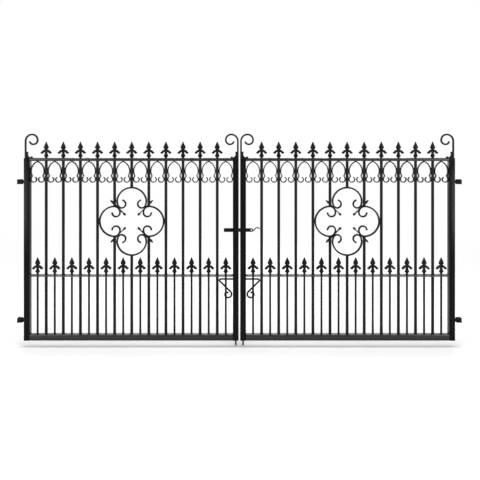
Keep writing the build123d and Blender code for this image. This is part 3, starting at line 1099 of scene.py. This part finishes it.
@dataclass
class Hinges:
    """The brackets on the posts and the eyes on the stiles."""

    fitter: Fitter
    heights: tuple[float, float] = (0.0, 951 * MM)
    height_share: float = 0.85
    bracket_ease: float = 1.4 * MM
    eye_ease: float = 0.7 * MM

    def hinge_part(self, node: str, ease: float) -> BMesh:
        """Copies the hinge parts of a node with eased edges, as low as they look in the photograph.

        Args:
            node: The node that is copied.
            ease: The width of the eased edges in metres.

        Returns:
            The mesh of both hinges' parts.
        """
        mesh = self.fitter.eased(node, ease)
        for vert in mesh.verts:
            middle = min(self.heights, key=lambda height: abs(vert.co.z - height))
            vert.co.z = middle + (vert.co.z - middle) * self.height_share
        return mesh

    def build(self) -> None:
        """Makes the left leaf's brackets and eyes and mirrors them."""
        brackets = self.hinge_part("left_hinge_brackets", self.bracket_ease)
        self.fitter.hang_pair(brackets, "post_brackets", Finish.HINGE, "hinge_brackets", POST_HINGES)
        eyes = self.hinge_part("left_hinge_eyes", self.eye_ease)
        self.fitter.hang_pair(eyes, "eye_straps", Finish.HINGE, "hinge_eyes")


@dataclass
class SlideLatch:
    """The flat slide latch and the pocket on the left leaf that takes its tip.

    Places along X, and what they are reckoned with, are in millimetres, as flat_shape takes them.
    """

    fitter: Fitter
    height: float = 618 * MM
    half_height: float = 12.2
    thickness: float = 8
    edge: float = 0.8 * MM
    tip: float = 1519.3
    end: float = 1618
    end_corners: Rows = ((7, 0), (2.5, 2), (0, 6))
    padlock_hole: tuple[float, float, float] = (1606.6, 0, 5)
    tail_strip: BarSection = BarSection(6.8 * MM, 7.2 * MM, 1.2 * MM)
    tail: Rows = ((1611, -8), (1629, 6), (1651.5, 16), (1662.4, 7))
    tail_heading: float = 15
    pocket: tuple[float, float] = (1417, 1479)
    pocket_back: float = 4
    pocket_gap: float = 0.3
    pocket_cheek: float = 3
    pocket_edge: float = 0.9 * MM

    def latch(self) -> BMesh:
        """Forges the slide latch, with its padlock hole and the tail that it is drawn by.

        Returns:
            Its mesh in its place.
        """
        half = self.half_height
        below = [(self.tip, -half)] + [(self.end - back, up - half) for back, up in self.end_corners]
        outline = below + [(x, -z) for x, z in reversed(below)]
        mesh = flat_shape(outline, self.thickness * MM, self.edge, (self.padlock_hole,))
        start, *bends = [(x * MM, z * MM) for x, z in self.tail]
        tail = BarBender(self.tail_strip, start, self.tail_heading)
        for x, z in bends:
            tail.arc_to(x, z)
        join(mesh, tail.close())
        bmesh.ops.translate(mesh, verts=mesh.verts, vec=(0, 0, self.height))
        return mesh

    def latch_pocket(self) -> BMesh:
        """Folds the pocket out of one strip, with the latch's tip between its cheeks.

        Returns:
            Its mesh in its place.
        """
        near, far = self.pocket
        inner = self.thickness / 2 + self.pocket_gap
        outer = inner + self.pocket_cheek
        back = near + self.pocket_back
        front = [(near, -outer), (far, -outer), (far, -inner), (back, -inner)]
        plan = front + [(x, -y) for x, y in reversed(front)]
        mesh = turned(flat_shape(plan, 2 * self.half_height * MM, self.pocket_edge), 90, "X")
        bmesh.ops.translate(mesh, verts=mesh.verts, vec=(0, 0, self.height))
        return mesh

    def build(self) -> None:
        """Makes the latch and its pocket."""
        self.fitter.hang(self.latch(), "latch_bar", Finish.FITTING, "latch", "slide_latch")
        self.fitter.hang(self.latch_pocket(), "latch_pocket", Finish.FITTING, "left_leaf", "latch_sleeve")


@dataclass(frozen=True)
class Softbox:
    """A rectangular soft light: its name, place and size in metres, and power in watts."""

    name: str
    place: tuple[float, float, float]
    size: tuple[float, float]
    power: float


@dataclass
class Studio:
    """A pale floor, soft light and the camera of the photograph."""

    floor_z: float = -186 * MM
    floor_radius: float = 30
    floor_fade: tuple[float, float] = (1.8, 4.6)
    pale: tuple[float, float, float, float] = (0.9, 0.9, 0.9, 1)
    white: tuple[float, float, float, float] = (1, 1, 1, 1)
    surround: float = 0.5
    aim_height: float = 0.5
    softboxes: tuple[Softbox, ...] = (
        Softbox("left_softbox", (-2.5, -4.0, 0.9), (2.4, 2.0), 110),
        Softbox("right_softbox", (5.55, -4.0, 0.9), (2.4, 2.0), 110),
        Softbox("top_softbox", (1.5, -0.4, 4.6), (4.5, 2.5), 190),
        Softbox("back_softbox", (1.5, 4.2, 1.9), (5.0, 1.2), 60),
    )
    lens: float = 40.3
    sensor: float = 36.0
    shift: tuple[float, float] = (0.0012, -0.248)
    camera_place: tuple[float, float] = (-3.70, 1.369)

    def seen_directly(self, sheet: NodeSheet) -> NodeSocket:
        """Marks the rays that come from the camera, a reflection or glass.

        Args:
            sheet: The shader tree that gets the nodes.

        Returns:
            The socket that is 1 for them and 0 for the rest.
        """
        path = sheet.put("ShaderNodeLightPath").outputs
        shiny = sheet.work(path["Is Camera Ray"], path["Is Glossy Ray"], "MAXIMUM")
        return sheet.work(shiny, path["Is Transmission Ray"], "MAXIMUM")

    def lay_floor(self) -> None:
        """Lays the floor, which turns into the white background a few metres out."""
        mesh = bmesh.new()
        bmesh.ops.create_circle(mesh, cap_ends=True, segments=64, radius=self.floor_radius)
        bmesh.ops.translate(mesh, verts=mesh.verts, vec=(SIZES.middle, 0, self.floor_z))
        data = bpy.data.meshes.new("floor")
        mesh.to_mesh(data)
        mesh.free()
        material = bpy.data.materials.new("pale_floor")
        sheet = NodeSheet.clean(material)
        place = sheet.put("ShaderNodeTexCoord").outputs["Object"]
        middle = {0: place, 1: (SIZES.middle, 0, self.floor_z)}
        away = sheet.put("ShaderNodeVectorMath", middle, operation="DISTANCE").outputs["Value"]
        far = sheet.work(sheet.spread(away, *self.floor_fade), self.seen_directly(sheet))
        matt = sheet.put("ShaderNodeBsdfPrincipled", {
            "Base Color": self.pale, "Roughness": 0.85, "Specular IOR Level": 0.1,
        })
        glow = sheet.put("ShaderNodeEmission", {"Color": self.white, "Strength": 1.0})
        mixed = sheet.put("ShaderNodeMixShader", {0: far, 1: matt.outputs[0], 2: glow.outputs[0]})
        sheet.put("ShaderNodeOutputMaterial", {"Surface": mixed.outputs[0]})
        data.materials.append(material)
        set_down("floor", data)

    def light(self) -> None:
        """Hangs the soft boxes and sets a white surround."""
        for softbox in self.softboxes:
            lamp = bpy.data.lights.new(softbox.name, "AREA")
            lamp.shape, lamp.energy = "RECTANGLE", softbox.power
            lamp.size, lamp.size_y = softbox.size
            holder = set_down(softbox.name, lamp)
            holder.location = softbox.place
            aim = Vector((SIZES.middle, 0, self.aim_height)) - Vector(softbox.place)
            holder.rotation_euler = aim.to_track_quat("-Z", "Y").to_euler()
        world = bpy.data.worlds.new("white_surround")
        sheet = NodeSheet.clean(world)
        strength = sheet.spread(self.seen_directly(sheet), 0.0, 1.0, self.surround, 1.0)
        sky = sheet.put("ShaderNodeBackground", {"Color": self.white, "Strength": strength})
        sheet.put("ShaderNodeOutputWorld", {"Surface": sky.outputs[0]})
        bpy.context.scene.world = world

    def set_camera(self) -> None:
        """Stands the camera where the photograph was taken."""
        camera = bpy.data.cameras.new("camera")
        camera.lens, camera.sensor_width = self.lens, self.sensor
        camera.shift_x, camera.shift_y = self.shift
        holder = set_down("camera", camera)
        holder.location = (SIZES.middle, *self.camera_place)
        holder.rotation_euler = (math.pi / 2, 0, 0)
        bpy.context.scene.camera = holder

    def build(self) -> None:
        """Sets up the studio and the plain view settings."""
        self.lay_floor()
        self.light()
        self.set_camera()
        bpy.context.scene.view_settings.view_transform = "Standard"


def main() -> None:
    """Builds the gates from their frame to their fittings, then the studio."""
    logging.basicConfig(level=logging.INFO, format="%(name)s: %(message)s")
    fitter = Fitter(PaintShop())
    makers = (LeafFrame, Infill, Scrollwork, Castings, DropBolts, Hinges, SlideLatch, WeldShop)
    for part in (*(maker(fitter) for maker in makers), Studio()):
        LOG.info("making %s", type(part).__name__)
        part.build()
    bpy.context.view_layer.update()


if __name__ == "__main__":
    main()
